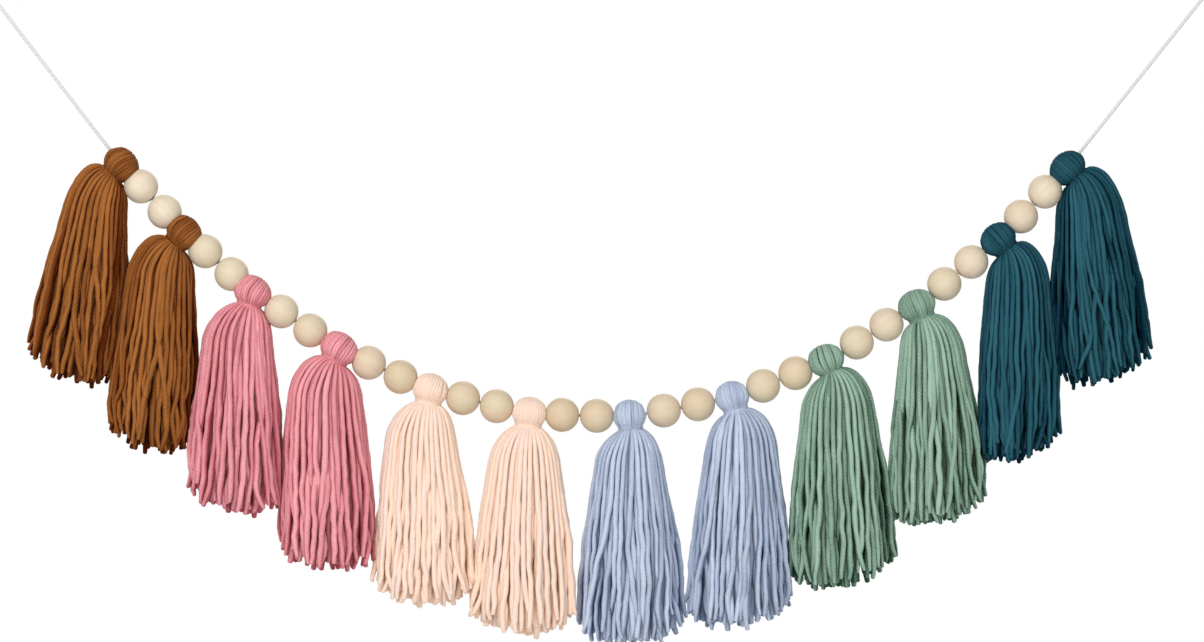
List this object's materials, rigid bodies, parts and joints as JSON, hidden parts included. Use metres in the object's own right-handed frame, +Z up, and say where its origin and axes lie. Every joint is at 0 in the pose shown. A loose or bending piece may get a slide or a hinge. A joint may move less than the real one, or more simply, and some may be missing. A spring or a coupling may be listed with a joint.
{
  "type": "tassel garland",
  "caption": "Swag of yarn tassels in soft colours with round wooden beads between them, threaded on a thin cord with a hanging loop at each end.",
  "frame": {"origin": "inside of the left hanging loop's bight, where a hook or pin bears", "axes": "+X along the garland to its right end, +Y away from the viewer into the wall, +Z up"},
  "size_m": [0.7704, 0.0421, 0.4219],
  "materials": {
    "caramel": "soft matt plied yarn",
    "rose": "soft matt plied yarn",
    "peach": "soft matt plied yarn",
    "lavender": "soft matt plied yarn",
    "sage": "soft matt plied yarn",
    "teal": "soft matt plied yarn",
    "wood": "fine sanded bare pale wood",
    "cord": "soft twisted cotton cord"
  },
  "bodies": {
    "root": {"tassel_01": "caramel", "tie_01": "caramel", "tassel_02": "caramel", "tie_02": "caramel", "tassel_03": "rose", "tie_03": "rose", "tassel_04": "rose", "tie_04": "rose", "tassel_05": "peach", "tie_05": "peach", "tassel_06": "peach", "tie_06": "peach", "tassel_07": "lavender", "tie_07": "lavender", "tassel_08": "lavender", "tie_08": "lavender", "tassel_09": "sage", "tie_09": "sage", "tassel_10": "sage", "tie_10": "sage", "tassel_11": "teal", "tie_11": "teal", "tassel_12": "teal", "tie_12": "teal", "bead_01": "wood", "bead_02": "wood", "bead_03": "wood", "bead_04": "wood", "bead_05": "wood", "bead_06": "wood", "bead_07": "wood", "bead_08": "wood", "bead_09": "wood", "bead_10": "wood", "bead_11": "wood", "bead_12": "wood", "bead_13": "wood", "bead_14": "wood", "bead_15": "wood", "bead_16": "wood", "bead_17": "wood", "bead_18": "wood", "bead_19": "wood", "bead_20": "wood", "bead_21": "wood", "bead_22": "wood", "cord": "cord", "loop_left": "cord", "loop_right": "cord"}
  },
  "joints": []
}
